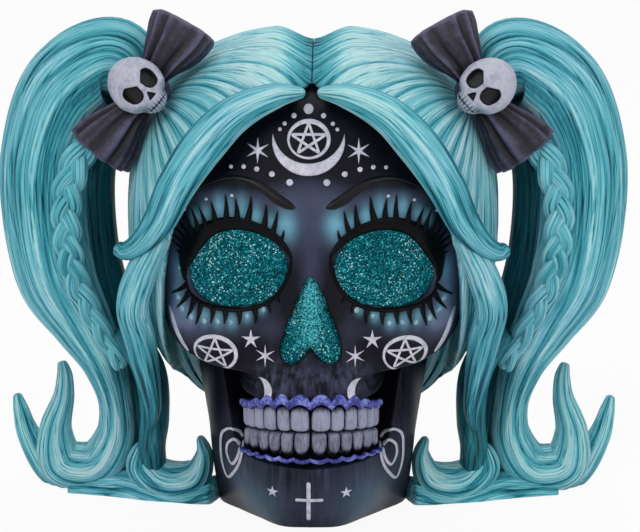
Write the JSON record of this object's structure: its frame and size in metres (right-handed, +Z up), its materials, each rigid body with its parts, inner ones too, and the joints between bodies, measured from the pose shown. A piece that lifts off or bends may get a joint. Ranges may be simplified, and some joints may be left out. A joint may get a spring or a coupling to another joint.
{
  "type": "decorative skull",
  "caption": "Painted resin skull ornament with glittering eyes and nose, bared teeth, parted hair and two curled pigtails tied with bows.",
  "frame": {"origin": "on the table surface, in the base of the head's neck column, in the plane that parts left from right", "axes": "+X to the viewer's right, across the pigtails; +Y from the face to the back of the head; +Z up; nodes named left are at -X"},
  "size_m": [0.1998, 0.1198, 0.1591],
  "materials": {
    "black_resin": "cast resin painted violet black, satin",
    "bone_teeth": "resin painted grey lilac, satin",
    "violet_gum": "resin painted violet blue, satin",
    "teal_glitter": "deep teal glitter under clear lacquer",
    "gloss_black": "raised black paint, semi-gloss",
    "teal_hair": "resin painted teal with lighter dry-brushed ridges, satin",
    "deep_teal_hair": "resin painted dark teal, satin",
    "charcoal_ribbon": "resin painted charcoal with paler rubbed pleats, satin",
    "pale_bone": "resin painted pale lilac grey with black hollows, satin"
  },
  "bodies": {
    "root": {"skull": "black_resin", "lower_jaw": "black_resin", "upper_teeth": "bone_teeth", "lower_teeth": "bone_teeth", "upper_gum_edge": "violet_gum", "lower_gum_edge": "violet_gum", "nose_insert": "teal_glitter", "eye_insert_left": "teal_glitter", "eye_insert_right": "teal_glitter", "upper_lashes_left": "gloss_black", "upper_lashes_right": "gloss_black", "lower_lashes_left": "gloss_black", "lower_lashes_right": "gloss_black", "brow_left": "gloss_black", "brow_right": "gloss_black", "hair_cap_left": "teal_hair", "hair_cap_right": "teal_hair", "fringe_left": "teal_hair", "fringe_right": "teal_hair", "pigtail_left": "teal_hair", "pigtail_right": "teal_hair", "pigtail_rear_tip_left": "teal_hair", "pigtail_rear_tip_right": "teal_hair", "pigtail_inner_lock_left": "deep_teal_hair", "pigtail_inner_lock_right": "deep_teal_hair", "tendril_left": "teal_hair", "tendril_right": "teal_hair", "under_lock_left": "deep_teal_hair", "under_lock_right": "deep_teal_hair", "jaw_curl_left": "teal_hair", "jaw_curl_right": "teal_hair", "hem_lock_left": "teal_hair", "hem_lock_right": "teal_hair", "braid_left": "teal_hair", "braid_right": "teal_hair", "bow_knot_left": "charcoal_ribbon", "bow_knot_right": "charcoal_ribbon", "bow_upper_loop_left": "charcoal_ribbon", "bow_upper_loop_right": "charcoal_ribbon", "bow_lower_loop_left": "charcoal_ribbon", "bow_lower_loop_right": "charcoal_ribbon", "bow_skull_left": "pale_bone", "bow_skull_right": "pale_bone"}
  },
  "joints": []
}
